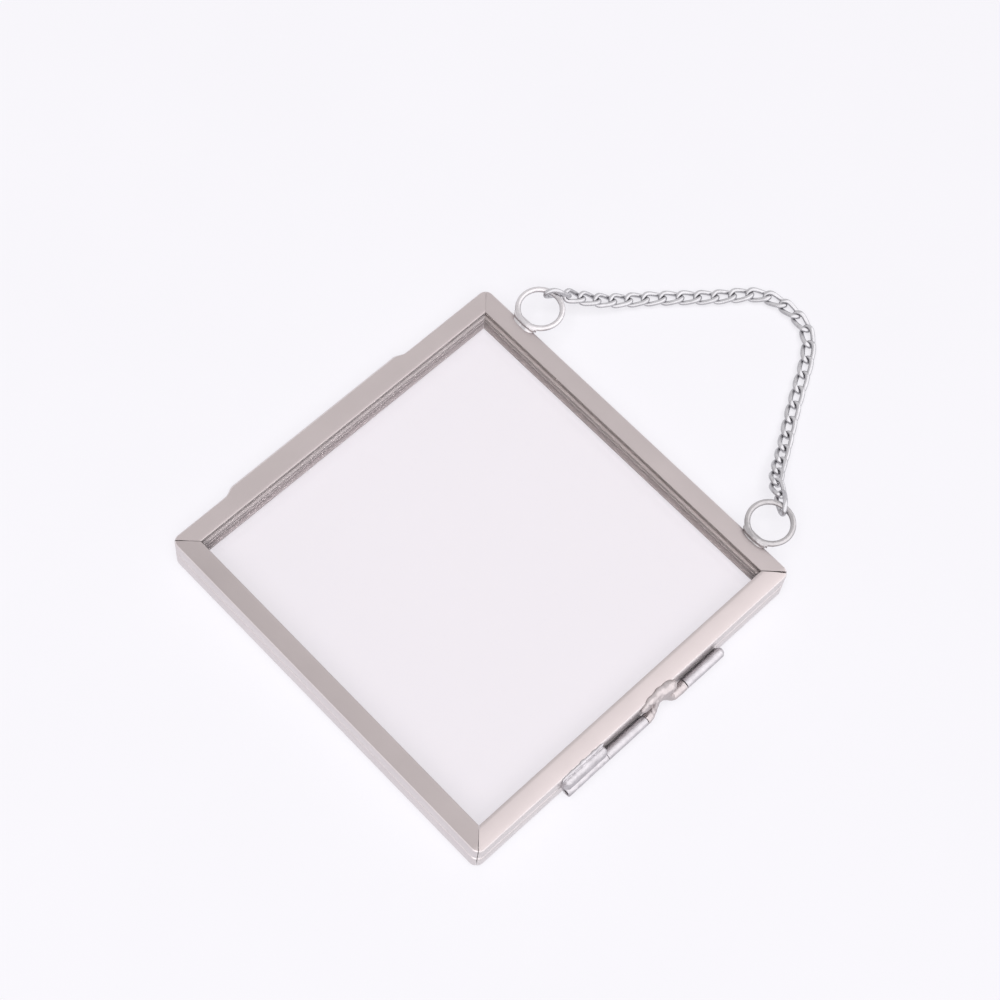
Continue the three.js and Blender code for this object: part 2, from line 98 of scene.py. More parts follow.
# Snap lip: its sheet, the run of its S ends and of its skirt's ends, and the skirt's rounded lower edge
LIP_SHEET = 0.5 * MM
LIP_TAPER = 3.2 * MM
LIP_SKIRT_TAPER = 1.0 * MM
LIP_SKIRT_INSET = LIP_TAPER * 0.55
LIP_EDGE_INSIDE = 0.1 * MM
LIP_EDGE_OUTSIDE = 0.12 * MM

# The rail is divided more closely along each end of the lip
LIP_END_STEPS = 16
LIP_END_REACH = LIP_TAPER * 1.25

# Where the lip counts as begun in the CAD rail, and how much further its soft start reaches
LIP_BEGUN = 0.02 * MM
LIP_SLACK = 0.9 * MM

# Solder melted over a solid: the grid it is melted on, the size of its lumps, and how far it is softened
HINGE_GRID = 0.09 * MM
HINGE_LUMP_SIZE = 0.9 * MM
RING_GRID = 0.10 * MM
RING_LUMP_SIZE = 1.1 * MM
RING_LUMP = 0.03 * MM
RING_PASSES = 6
SOFTENING = 0.5
DROP_LEVELS = 3

# Drops of solder on the crimp, in millimetres: (outwards, up the frame, over the face) and three radii
CRIMP_MIDDLE = 4.7
CRIMP_DROPS = [
    ((0.6, 2.5, -0.6), (1.5, 2.6, 1.6)),
    ((0.15, 0.6, -0.2), (1.15, 2.4, 1.15)),
    ((0.2, -1.8, -0.5), (1.0, 2.1, 1.1)),
    ((0.4, -3.8, -1.6), (0.8, 1.6, 1.4)),
]

# The crimp's peak is pressed down to this height over the face, apart from a share of what stands over it
PEAK_RISE = 0.7 * MM
PEAK_SHARE = 0.1

# Small drops on the rim of the first knuckle, in millimetres from the knuckle's end and the face's edge
RIM_DROP_SIZES = (0.3, 0.45, 0.38, 0.55, 0.4, 0.5, 0.36)
RIM_DROP_HALF_LENGTH = 1.2
RIM_DROP_START = 1.0
RIM_DROP_STEP = 1.7
RIM_DROP_OUT = 0.15
RIM_DROP_DOWN = 0.5

# The row of drops that runs into one bead of solder between the rail's wall and the first knuckle
BEAD_DROPS = 18
BEAD_DROP_RADII = (1.4, 1.4, 1.95)
BEAD_DROP_START = 1.1
BEAD_DROP_STEP = 0.6
BEAD_DROP_OUT = 0.75
BEAD_DROP_DOWN = 2.9

# The two drops of solder at a ring's foot, in millimetres, and how deep under the face they are cut flat
RING_DROP_RADII = (2.6, 1.3, 1.3)
RING_DROP_SPREAD = 0.8
RING_DROP_DOWN = 0.9
RING_DROP_SINK = 0.2 * MM

# A ring's foot: its half width, how far behind the frame's edge it reaches, and the share left of its tips
FOOT_REACH = 3.2 * MM
FOOT_BEHIND = 0.12 * MM
FOOT_SHARE = 0.05

# Round wire: how often its facets are smoothed, and what that would take off it
WIRE_LEVELS = 2
WIRE_GROWTH = 0.19 * MM
FACET_ANGLE = math.radians(60)
WELD = 0.001 * MM

# Tones, as linear colours
FRAME_TONE = (0.478, 0.428, 0.424, 1)
# Each side's face tone is the frame's tone made lighter or darker by its share: painted light and shade for
# how light falls on that rail
FACE_LIGHT_SHARES = {"bottom": 0.92, "right": 1.03, "top": 0.99, "left": 1.02}
# The outer walls get a lighter tone than the face: painted light for the brightness the walls catch
LIT_WALL_TONE = (0.68, 0.63, 0.635, 1)
# The slot is darker on the top and bottom rails than on the left and right: painted shade and light for how
# much light reaches into each slot
SHADED_SLOT_TONE_ACROSS = (0.34, 0.295, 0.285, 1)
LIT_SLOT_TONE_UPRIGHT = (0.50, 0.455, 0.455, 1)
# The inner edge of the flange under the glass is lighter than the slot: painted light for the lit edge,
# darker again on the top and bottom rails as painted shade
PAINTED_LIGHT_STRIP_TONE_ACROSS = (0.52, 0.455, 0.44, 1)
PAINTED_LIGHT_STRIP_TONE_UPRIGHT = (0.66, 0.61, 0.605, 1)
SOLDER_TONE = (0.54, 0.52, 0.54, 1)
CRIMP_TONE = (0.53, 0.485, 0.485, 1)
# The two rings are the same wire: the right one gets a darker tone and the left one a lighter one, painted
# shade and light for how each ring is lit
SHADED_RING_TONE = (0.45, 0.435, 0.44, 1)
LIT_RING_TONE = (0.60, 0.58, 0.59, 1)
GLASS_TINT = (0.975, 0.963, 0.969, 1)
CHAIN_TONE = (0.52, 0.515, 0.53, 1)
FLOOR_TONE = (0.94, 0.925, 0.965, 1)
TENT_TONE = (1.0, 0.985, 1.0, 1)

# How the drawn grain is stretched along a rail
ALONG_X = (0.04, 3.0, 3.0)
ALONG_Y = (3.0, 0.04, 3.0)

# Light: the share that comes from all round, the key light, and the ground's glow to the eye
FILL_LEVEL = 0.2
KEY_POWER = 92.0
KEY_DISTANCE = 3.0
KEY_SIZE = 1.75
KEY_AIM = Vector((0.25, -0.30, 0.92))
GROUND_GLOW = 0.75

# Zones of the tent that the metal mirrors, by the slope of the ray: (start, full, change of the light)
LOWEST_RISE = 0.05
HINGE_SIDE_ZONE = (-0.18, -0.06, 1.0)
LIP_SIDE_ZONE = (-0.36, -0.50, 0.22)
FAR_ZONE = (0.42, 0.66, -0.10)
NEAR_ZONE = (0.34, 0.18, -0.14)

# The floor lies a little under the frame, where the rings reach when the front half is opened flat
FLOOR_DROP = 1.55 * MM
FLOOR_REACH = 1.6


def corners(node):
    """The lowest and highest corners of a CAD node."""
    low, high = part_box(node)
    return Vector(low), Vector(high)


rear_left = corners("rear_rail_left")
rear_right = corners("rear_rail_right")
rear_bottom = corners("rear_rail_bottom")
rear_top = corners("rear_rail_top")
front_top = corners("front_rail_top")
front_left = corners("front_rail_left")

LEFT = rear_left[0].x
RIGHT = rear_right[1].x
BOTTOM = rear_bottom[0].y
TOP = rear_top[1].y
MIDDLE_X = (LEFT + RIGHT) / 2
MIDDLE_Y = (BOTTOM + TOP) / 2
FACE_WIDTH = rear_right[1].x - rear_right[0].x
CHANNEL_DEPTH = rear_top[1].z
FRONT_BASE = front_top[0].z
FACE_HEIGHT = front_top[1].z

X_AXIS = Vector((1, 0, 0))
Y_AXIS = Vector((0, 1, 0))


# Shader groups

def node_group(name, inputs, outputs):
    """An empty shader group with named sockets, and its two end nodes."""
    group = bpy.data.node_groups.new(name, "ShaderNodeTree")
    for label, kind, value in inputs:
        socket = group.interface.new_socket(label, in_out="INPUT", socket_type=kind)
        socket.default_value = value
    for label, kind in outputs:
        group.interface.new_socket(label, in_out="OUTPUT", socket_type=kind)
    return group, group.nodes.new("NodeGroupInput"), group.nodes.new("NodeGroupOutput")


def position_in_mm(nodes, links):
    """Object coordinates in millimetres."""
    coordinates = nodes.new("ShaderNodeTexCoord")
    scale = nodes.new("ShaderNodeVectorMath")
    scale.operation = "SCALE"
    scale.inputs["Scale"].default_value = 1 / MM
    links.new(coordinates.outputs["Object"], scale.inputs[0])
    return scale.outputs["Vector"]


def uneven_tone_group():
    """Colour that drifts in soft patches, with a darker tone where the mask is high."""
    group, start, end = node_group(
        "uneven_tone",
        [
            ("Light", "NodeSocketColor", (0.5, 0.5, 0.5, 1)),
            ("Dark", "NodeSocketColor", (0.4, 0.4, 0.4, 1)),
            ("Patch Size", "NodeSocketFloat", 8.0),
            ("Amount", "NodeSocketFloat", 0.5),
        ],
        [("Color", "NodeSocketColor"), ("Mask", "NodeSocketFloat")],
    )
    nodes = group.nodes
    links = group.links
    place = position_in_mm(nodes, links)
    frequency = nodes.new("ShaderNodeMath")
    frequency.operation = "DIVIDE"
    frequency.inputs[0].default_value = 1.0
    links.new(start.outputs["Patch Size"], frequency.inputs[1])
    patches = nodes.new("ShaderNodeTexNoise")
    patches.inputs["Detail"].default_value = 3.0
    patches.inputs["Roughness"].default_value = 0.55
    links.new(place, patches.inputs["Vector"])
    links.new(frequency.outputs[0], patches.inputs["Scale"])
    spread = nodes.new("ShaderNodeMapRange")
    spread.inputs["From Min"].default_value = 0.35
    spread.inputs["From Max"].default_value = 0.70
    links.new(patches.outputs["Fac"], spread.inputs["Value"])
    amount = nodes.new("ShaderNodeMath")
    amount.operation = "MULTIPLY"
    links.new(spread.outputs["Result"], amount.inputs[0])
    links.new(start.outputs["Amount"], amount.inputs[1])
    blend = nodes.new("ShaderNodeMix")
    blend.data_type = "RGBA"
    links.new(amount.outputs[0], blend.inputs["Factor"])
    links.new(start.outputs["Light"], blend.inputs["A"])
    links.new(start.outputs["Dark"], blend.inputs["B"])
    links.new(blend.outputs["Result"], end.inputs["Color"])
    links.new(amount.outputs[0], end.inputs["Mask"])
    return group


def worked_surface_group():
    """Roughness and bump of rolled or soldered metal: fine grain stretched one way, over slow waves."""
    group, start, end = node_group(
        "worked_surface",
        [
            ("Grain Stretch", "NodeSocketVector", (1.0, 1.0, 1.0)),
            ("Grain Scale", "NodeSocketFloat", 6.0),
            ("Grain Height", "NodeSocketFloat", 0.01),
            ("Wave Scale", "NodeSocketFloat", 0.2),
            ("Wave Height", "NodeSocketFloat", 0.05),
            ("Smooth Roughness", "NodeSocketFloat", 0.3),
            ("Coarse Roughness", "NodeSocketFloat", 0.4),
        ],
        [("Roughness", "NodeSocketFloat"), ("Normal", "NodeSocketVector")],
    )
    nodes = group.nodes
    links = group.links
    place = position_in_mm(nodes, links)
    stretch = nodes.new("ShaderNodeVectorMath")
    stretch.operation = "MULTIPLY"
    links.new(place, stretch.inputs[0])
    links.new(start.outputs["Grain Stretch"], stretch.inputs[1])
    grain = nodes.new("ShaderNodeTexNoise")
    grain.inputs["Detail"].default_value = 4.0
    grain.inputs["Roughness"].default_value = 0.65
    links.new(stretch.outputs["Vector"], grain.inputs["Vector"])
    links.new(start.outputs["Grain Scale"], grain.inputs["Scale"])
    waves = nodes.new("ShaderNodeTexNoise")
    waves.inputs["Detail"].default_value = 1.0
    links.new(place, waves.inputs["Vector"])
    links.new(start.outputs["Wave Scale"], waves.inputs["Scale"])
    shine = nodes.new("ShaderNodeMapRange")
    shine.inputs["From Min"].default_value = 0.3
    shine.inputs["From Max"].default_value = 0.7
    links.new(grain.outputs["Fac"], shine.inputs["Value"])
    links.new(start.outputs["Smooth Roughness"], shine.inputs["To Min"])
    links.new(start.outputs["Coarse Roughness"], shine.inputs["To Max"])
    slow = nodes.new("ShaderNodeBump")
    slow.inputs["Strength"].default_value = 1.0
    links.new(waves.outputs["Fac"], slow.inputs["Height"])
    links.new(start.outputs["Wave Height"], slow.inputs["Distance"])
    fine = nodes.new("ShaderNodeBump")
    fine.inputs["Strength"].default_value = 1.0
    links.new(grain.outputs["Fac"], fine.inputs["Height"])
    links.new(start.outputs["Grain Height"], fine.inputs["Distance"])
    links.new(slow.outputs["Normal"], fine.inputs["Normal"])
    links.new(shine.outputs["Result"], end.inputs["Roughness"])
    links.new(fine.outputs["Normal"], end.inputs["Normal"])
    return group


UNEVEN_TONE = uneven_tone_group()
WORKED_SURFACE = worked_surface_group()


# Materials

def use_group(material, group, values):
    """A copy of a group in a material, with its inputs set."""
    node = material.node_tree.nodes.new("ShaderNodeGroup")
    node.node_tree = group
    for label, value in values.items():
        node.inputs[label].default_value = value
    return node


def toned(tone, share):
    """A tone made darker by a share below 1, or lighter by one above it."""
    return tuple(value * share for value in tone[:3]) + (1,)


def metal(name, tone, patches, surface, metallic=1.0):
    """A metal with drifting tone and a worked surface."""
    material = bpy.data.materials.new(name)
    material.use_nodes = True
    links = material.node_tree.links
    shader = material.node_tree.nodes["Principled BSDF"]
    shader.inputs["Metallic"].default_value = metallic
    colour = use_group(material, UNEVEN_TONE, {"Light": tone, **patches})
    skin = use_group(material, WORKED_SURFACE, surface)
    links.new(colour.outputs["Color"], shader.inputs["Base Color"])
    links.new(skin.outputs["Roughness"], shader.inputs["Roughness"])
    links.new(skin.outputs["Normal"], shader.inputs["Normal"])
    return material


def rail_metal(name, tone, stretch, metallic=1.0):
    """Plated sheet with a fine drawn grain along the rail."""
    return metal(
        name,
        tone,
        {"Dark": toned(tone, 0.92), "Patch Size": 14.0, "Amount": 0.6},
        {
            "Grain Stretch": stretch,
            "Grain Scale": 5.0,
            "Grain Height": 0.004 * MM,
            "Wave Scale": 0.16,
            "Wave Height": 0.02 * MM,
            "Smooth Roughness": 0.28,
            "Coarse Roughness": 0.38,
        },
        metallic,
    )


def slot_metal(name, tone):
    """The dull, unpolished inside of the channel."""
    return metal(
        name,
        tone,
        {"Dark": toned(tone, 0.9), "Patch Size": 9.0, "Amount": 0.5},
        {
            "Grain Scale": 3.0,
            "Grain Height": 0.0005 * MM,
            "Wave Scale": 0.3,
            "Wave Height": 0.001 * MM,
            "Smooth Roughness": 0.6,
            "Coarse Roughness": 0.75,
        },
        metallic=0.1,
    )


def solder_metal(name, tone, smooth, coarse):
    """Hand-soldered metal with a lumpy skin."""
    return metal(
        name,
        tone,
        {"Dark": toned(tone, 0.74), "Patch Size": 1.8, "Amount": 0.6},
        {
            "Grain Scale": 2.2,
            "Grain Height": 0.022 * MM,
            "Wave Scale": 0.8,
            "Wave Height": 0.07 * MM,
            "Smooth Roughness": smooth,
            "Coarse Roughness": coarse,
        },
    )


def chain_metal():
    """Bright plated wire."""
    return metal(
        "chain_metal",
        CHAIN_TONE,
        {"Dark": toned(CHAIN_TONE, 0.75), "Patch Size": 1.8, "Amount": 0.6},
        {
            "Grain Scale": 3.0,
            "Grain Height": 0.012 * MM,
            "Wave Scale": 0.8,
            "Wave Height": 0.05 * MM,
            "Smooth Roughness": 0.2,
            "Coarse Roughness": 0.34,
        },
    )


def clear_glass():
    """Clear window glass that lets light through to the floor under it."""
    material = bpy.data.materials.new("clear_glass")
    material.use_nodes = True
    nodes = material.node_tree.nodes
    links = material.node_tree.links
    shader = nodes["Principled BSDF"]
    shader.inputs["Base Color"].default_value = GLASS_TINT
    shader.inputs["Roughness"].default_value = 0.0
    shader.inputs["IOR"].default_value = 1.5
    shader.inputs["Transmission Weight"].default_value = 1.0
    waves = nodes.new("ShaderNodeTexNoise")
    waves.inputs["Scale"].default_value = 0.05
    waves.inputs["Detail"].default_value = 3.0
    links.new(position_in_mm(nodes, links), waves.inputs["Vector"])
    flow = nodes.new("ShaderNodeBump")
    flow.inputs["Distance"].default_value = 0.001 * MM
    flow.inputs["Strength"].default_value = 0.5
    links.new(waves.outputs["Fac"], flow.inputs["Height"])
    links.new(flow.outputs["Normal"], shader.inputs["Normal"])
    clear = nodes.new("ShaderNodeBsdfTransparent")
    clear.inputs["Color"].default_value = GLASS_TINT
    rays = nodes.new("ShaderNodeLightPath")
    light_rays = nodes.new("ShaderNodeMath")
    light_rays.operation = "MAXIMUM"
    links.new(rays.outputs["Is Shadow Ray"], light_rays.inputs[0])
    links.new(rays.outputs["Is Diffuse Ray"], light_rays.inputs[1])
    choose = nodes.new("ShaderNodeMixShader")
    links.new(light_rays.outputs[0], choose.inputs["Fac"])
    links.new(shader.outputs["BSDF"], choose.inputs[1])
    links.new(clear.outputs["BSDF"], choose.inputs[2])
    links.new(choose.outputs["Shader"], nodes["Material Output"].inputs["Surface"])
    return material


def floor_paper():
    """Pale matt paper, with a soft glow to the eye that keeps its shadows light."""
    material = bpy.data.materials.new("pale_floor")
    material.use_nodes = True
    nodes = material.node_tree.nodes
    links = material.node_tree.links
    shader = nodes["Principled BSDF"]
    shader.inputs["Roughness"].default_value = 0.9
    shader.inputs["Specular IOR Level"].default_value = 0.1
    colour = use_group(
        material,
        UNEVEN_TONE,
        {"Light": FLOOR_TONE, "Dark": toned(FLOOR_TONE, 0.985), "Patch Size": 60.0, "Amount": 0.5},
    )
    links.new(colour.outputs["Color"], shader.inputs["Base Color"])
    glow = nodes.new("ShaderNodeEmission")
    links.new(colour.outputs["Color"], glow.inputs["Color"])
    rays = nodes.new("ShaderNodeLightPath")
    seen = nodes.new("ShaderNodeMath")
    seen.operation = "ADD"
    links.new(rays.outputs["Is Camera Ray"], seen.inputs[0])
    links.new(rays.outputs["Is Transmission Ray"], seen.inputs[1])
    mirrored = nodes.new("ShaderNodeMath")
    mirrored.operation = "ADD"
    mirrored.use_clamp = True
    links.new(seen.outputs[0], mirrored.inputs[0])
    links.new(rays.outputs["Is Glossy Ray"], mirrored.inputs[1])
    share = nodes.new("ShaderNodeMath")
    share.operation = "MULTIPLY"
    share.inputs[1].default_value = GROUND_GLOW
    links.new(mirrored.outputs[0], share.inputs[0])
    mix = nodes.new("ShaderNodeMixShader")
    links.new(share.outputs[0], mix.inputs["Fac"])
    links.new(shader.outputs["BSDF"], mix.inputs[1])
    links.new(glow.outputs["Emission"], mix.inputs[2])
    links.new(mix.outputs["Shader"], nodes["Material Output"].inputs["Surface"])
    # The glow is for the eye alone, so it isn't sampled as a lamp, which would only add grain
    material.cycles.emission_sampling = "NONE"
    return material


# The order of a rail's materials
FACE_METAL = 0
WALL_METAL = 1
SLOT_METAL = 2
PAINTED_LIGHT_STRIP_METAL = 3


def rail_materials(side):
    """The materials of one side's rails: the face, the wall, the slot and the strip of painted light in the
    slot; the face, wall and slot tones carry painted light and shade for the side.
    """
    across = side in ("bottom", "top")
    stretch = ALONG_X if across else ALONG_Y
    return [
        rail_metal(f"rail_face_{side}", toned(FRAME_TONE, FACE_LIGHT_SHARES[side]), stretch),
        rail_metal(f"rail_lit_wall_{side}", LIT_WALL_TONE, stretch, 1.0 if across else 0.4),
        slot_metal(f"slot_{side}", SHADED_SLOT_TONE_ACROSS if across else LIT_SLOT_TONE_UPRIGHT),
        slot_metal(f"slot_painted_light_strip_{side}", PAINTED_LIGHT_STRIP_TONE_ACROSS if across else PAINTED_LIGHT_STRIP_TONE_UPRIGHT),
    ]


RAIL_MATERIALS = {side: rail_materials(side) for side in FACE_LIGHT_SHARES}
SOLDER = solder_metal("soldered_metal", SOLDER_TONE, 0.38, 0.56)
CRIMP = solder_metal("crimped_metal", CRIMP_TONE, 0.38, 0.56)
LEFT_RING = solder_metal("ring_metal_left", LIT_RING_TONE, 0.28, 0.42)
RIGHT_RING = solder_metal("ring_metal_right", SHADED_RING_TONE, 0.26, 0.40)
CHAIN = chain_metal()
GLASS = clear_glass()


# Making meshes

def smooth_by_angle(mesh, degrees):
    """Smooth shading, with sharp edges where faces meet at more than the angle."""
    for polygon in mesh.polygons:
        polygon.use_smooth = True
    mesh.set_sharp_from_angle(angle=math.radians(degrees))


def smooth_all_over(mesh):
    """Smooth shading without a sharp edge."""
    smooth_by_angle(mesh, 180)


def add_piece(name, mesh, materials, body, nodes):
    """A finished mesh as a piece that rides on a body and stands for CAD nodes."""
    piece = bpy.data.objects.new(name, mesh)
    bpy.context.scene.collection.objects.link(piece)
    # The list is filled in place, because clearing it would also clear each face's own choice
    while len(mesh.materials) > len(materials):
        mesh.materials.pop()
    for index, material in enumerate(materials):
        if index < len(mesh.materials):
            mesh.materials[index] = material
        else:
            mesh.materials.append(material)
    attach(piece, body)
    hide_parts(*nodes)
    return piece


def paint(node, material):
    """One material all over a CAD node that keeps its shape."""
    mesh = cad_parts[node].data
    mesh.materials.clear()
    mesh.materials.append(material)


def smoothstep(value):
    """0 below 0, 1 above 1, and an S between."""
    value = min(max(value, 0.0), 1.0)
    return value * value * (3 - 2 * value)


def take_mesh(piece):
    """The mesh that a piece's modifiers give; the piece itself goes."""
    bpy.context.view_layer.update()
    evaluated = piece.evaluated_get(bpy.context.evaluated_depsgraph_get())
    mesh = bpy.data.meshes.new_from_object(evaluated)
    bpy.data.objects.remove(piece)
    return mesh


# Rails

def arc(centre, radius, start, end, steps):
    """Points on an arc in a section, angles in degrees."""
    points = []
    for step in range(steps + 1):
        angle = math.radians(start + (end - start) * step / steps)
        points.append((centre[0] + radius * math.cos(angle), centre[1] + radius * math.sin(angle)))
    return points


def channel_section(fall):
    """The channel as (inwards, height) points, from the rolled wall over the crowned face and back."""
    top = CHANNEL_DEPTH
    tip = FACE_WIDTH - INNER_ROLL
    shoulder = top - FACE_CROWN - fall
    points = arc((ROLL, ROLL), ROLL, 270, 180, ROLL_STEPS)
    points += arc((ROLL, shoulder - ROLL), ROLL, 180, 90, ROLL_STEPS)
    reach = tip - ROLL
    for step in range(1, CROWN_STEPS):
        share = step / CROWN_STEPS
        height = top - FACE_CROWN * (1 - share) ** 2 - fall * (1 - share)
        points.append((ROLL + reach * share, height))
    points += arc((tip, top - INNER_ROLL), INNER_ROLL, 90, 0, INNER_ROLL_STEPS)
    points += arc((tip, top - SHEET + INNER_ROLL), INNER_ROLL, 0, -90, INNER_ROLL_STEPS)
    points += [(SHEET, top - SHEET), (SHEET, SHEET), (STRIP_START, SHEET)]
    points += arc((tip, SHEET - INNER_ROLL), INNER_ROLL, 90, 0, INNER_ROLL_STEPS)
    points += arc((tip, INNER_ROLL), INNER_ROLL, 0, -90, INNER_ROLL_STEPS)
    return points


# The section's parts, counted in points: where the wall, the skirt's share of it and the face end, where the
# dull slot starts, and which stretch is its strip of painted light
WALL_END = 2 * ROLL_STEPS
SKIRT_END = ROLL_STEPS + 1
FACE_END = 2 * (ROLL_STEPS + 1) + CROWN_STEPS - 1
SLOT_START = FACE_END + 1
STRIP = SLOT_START + 2 * (INNER_ROLL_STEPS + 1) + 1


def stretch_material(stretch):
    """Which of a rail's materials a stretch of its section has."""
    if stretch < WALL_END:
        return WALL_METAL
    if stretch < SLOT_START:
        return FACE_METAL
    return PAINTED_LIGHT_STRIP_METAL if stretch == STRIP else SLOT_METAL


def corner_inset(inward, beyond):
    """How far in a point of the section lies where the corner's arc has begun."""
    radius = CORNER - inward
    if radius <= 0 or beyond <= 0:
        return inward
    return CORNER - math.sqrt(max(radius * radius - beyond * beyond, 0.0))


def corner_end(inward):
    """How far in a point of the section lies on the mitre."""
    return CORNER - (CORNER - inward) / math.sqrt(2) if inward < CORNER else inward


def rail_stations(spots):
    """Places along a rail from -1 to 1, closer together at its ends and at the given spots."""
    stations = [-1 + 2 * step / RAIL_STEPS for step in range(RAIL_STEPS + 1)]
    for step in range(1, END_STEPS + 1):
        near_end = 1 - END_STEP * step
        stations += [near_end, -near_end]
    stations += spots
    return sorted(set(round(station, 6) for station in stations))


def section_place(point, share, length, mitres):
    """Where a point of the section lies: (along, inwards, height)."""
    inward, height = point
    gap = mitres[0] + (mitres[1] - mitres[0]) * (share + 1) / 2
    along = share * (length / 2 - corner_end(inward) - gap * math.sqrt(2))
    beyond = abs(along) - (length / 2 - CORNER)
    return along, corner_inset(inward, beyond), height


# A side of the frame: the middle of its outer edge, the ways along and inwards, its length, how far it
# stands off the mitres at its start and end, and how far its face falls towards the wall
Side = namedtuple("Side", "middle along inwards length mitres fall")

SIDES = {
    "bottom": Side(
        Vector((MIDDLE_X, BOTTOM, 0)), X_AXIS, Y_AXIS, RIGHT - LEFT,
        (MITRE_BOTTOM_LEFT, MITRE_BOTTOM_RIGHT), 0.0,
    ),
    "right": Side(
        Vector((RIGHT, MIDDLE_Y, 0)), Y_AXIS, -X_AXIS, TOP - BOTTOM,
        (MITRE_BOTTOM_RIGHT, MITRE_TOP_RIGHT), HINGE_SIDE_FALL,
    ),
    "top": Side(
        Vector((MIDDLE_X, TOP, 0)), -X_AXIS, -Y_AXIS, RIGHT - LEFT,
        (MITRE_TOP_RIGHT, MITRE_TOP_LEFT), 0.0,
    ),
    "left": Side(
        Vector((LEFT, MIDDLE_Y, 0)), -Y_AXIS, X_AXIS, TOP - BOTTOM,
        (MITRE_TOP_LEFT, MITRE_BOTTOM_LEFT), 0.0,
    ),
}


def rail_mesh(name, side, base, flip, lip=None):
    """A mitred channel rail lofted along its side; flip turns the crowned face down."""
    section = channel_section(0.0 if flip else side.fall)
    stations = rail_stations(lip.stations if lip else [])
    work = bmesh.new()
    rings = []
    for share in stations:
        ring = []
        for index, point in enumerate(section):
            along, inward, height = section_place(point, share, side.length, side.mitres)
            if lip:
                inward, height = lip.shape(index, along, inward, height)
            if flip:
                height = CHANNEL_DEPTH - height
            place = side.middle + side.along * along + side.inwards * inward + Vector((0, 0, base + height))
            ring.append(work.verts.new(place))
        rings.append(ring)
    count = len(section)
    for here, there in zip(rings, rings[1:]):
        for k in range(count):
            face = work.faces.new((here[k], here[(k + 1) % count], there[(k + 1) % count], there[k]))
            face.material_index = stretch_material(k)
    ends = [work.faces.new(list(reversed(rings[0]))), work.faces.new(rings[-1])]
    bmesh.ops.recalc_face_normals(work, faces=work.faces)
    bmesh.ops.triangulate(work, faces=ends)
    mesh = bpy.data.meshes.new(name)
    work.to_mesh(mesh)
    work.free()
    smooth_by_angle(mesh, RAIL_SHARP_ANGLE)
    return mesh


# The lip: extra places along the rail, and how the section's points move there
Lip = namedtuple("Lip", "stations shape")


def lip_span():
    """The lowest and highest places of the lip along Y, from the CAD rail's own mesh."""
    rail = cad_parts["front_rail_left"].data
    outer = [vertex.co.y for vertex in rail.vertices if vertex.co.x < LEFT - LIP_BEGUN]
    return min(outer) - LIP_SLACK, max(outer) + LIP_SLACK


def snap_lip():
    """How the left rail's section changes along the lip: its wall bulges out and hangs down as a skirt."""
    lip_low, lip_high = lip_span()
    proud = LEFT - front_left[0].x
    drop = FRONT_BASE - front_left[0].z
    half = (TOP - BOTTOM) / 2

    def bulge(along):
        place = MIDDLE_Y - along
        return smoothstep((place - lip_low) / LIP_TAPER) * smoothstep((lip_high - place) / LIP_TAPER)

    def hang(along):
        place = MIDDLE_Y - along
        rise = smoothstep((place - lip_low - LIP_SKIRT_INSET) / LIP_SKIRT_TAPER)
        return rise * smoothstep((lip_high - LIP_SKIRT_INSET - place) / LIP_SKIRT_TAPER)

    def shape(index, along, inward, height):
        out = proud * bulge(along)
        down = hang(along)
        if index < SKIRT_END:
            skirt = [
                (LIP_SHEET - out, 0.0),
                (LIP_SHEET - out, LIP_EDGE_INSIDE - drop),
                (LIP_SHEET * 0.75 - out, -drop),
                (LIP_SHEET * 0.25 - out, -drop),
                (-out, LIP_EDGE_OUTSIDE - drop),
            ][index]
            plain = inward - out * index / (SKIRT_END - 1)
            inward = plain + (skirt[0] - plain) * down
            height += (skirt[1] - height) * down
        elif index < FACE_END:
            fade = max(0.0, 1 - max(inward, 0.0) / FACE_WIDTH) ** 2
            inward -= out * fade
        return inward, height

    stations = []
    for end, way in ((lip_low, 1), (lip_high, -1)):
        for step in range(LIP_END_STEPS + 1):
            place = end + way * LIP_END_REACH * step / LIP_END_STEPS
            stations.append((MIDDLE_Y - place) / half)
    return Lip(stations, shape)


def make_rails():
    """The eight rails of the two halves."""
    for side in SIDES:
        for half, base, flip in (("front", FRONT_BASE, False), ("rear", 0.0, True)):
            lip = snap_lip() if (half, side) == ("front", "left") else None
            name = f"{half}_rail_{side}_sheet"
            mesh = rail_mesh(name, SIDES[side], base, flip, lip)
            materials = RAIL_MATERIALS[side]
            add_piece(name, mesh, materials, f"{half}_frame", [f"{half}_rail_{side}"])


# Pieces made from the CAD solids

def copy_of(node, name):
    """A loose copy of a CAD node's mesh as a new object."""
    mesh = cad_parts[node].data.copy()
    mesh.name = name
    piece = bpy.data.objects.new(name, mesh)
    bpy.context.scene.collection.objects.link(piece)
    work = bmesh.new()
    work.from_mesh(mesh)
    bmesh.ops.remove_doubles(work, verts=work.verts, dist=WELD)
    work.to_mesh(mesh)
    work.free()
    return piece


def rounded_wire(node, name):
    """A faceted wire made round: its sides move out by what the smoothing takes off them."""
    piece = copy_of(node, name)
    work = bmesh.new()
    work.from_mesh(piece.data)
    bmesh.ops.join_triangles(
        work, faces=work.faces, angle_face_threshold=FACET_ANGLE, angle_shape_threshold=FACET_ANGLE,
    )
    work.normal_update()
    for vertex in work.verts:
        vertex.co += vertex.normal * WIRE_GROWTH
    work.to_mesh(piece.data)
    work.free()
    smooth = piece.modifiers.new("round", "SUBSURF")
    smooth.levels = WIRE_LEVELS
    smooth.render_levels = WIRE_LEVELS
    mesh = take_mesh(piece)
    smooth_all_over(mesh)
    return mesh


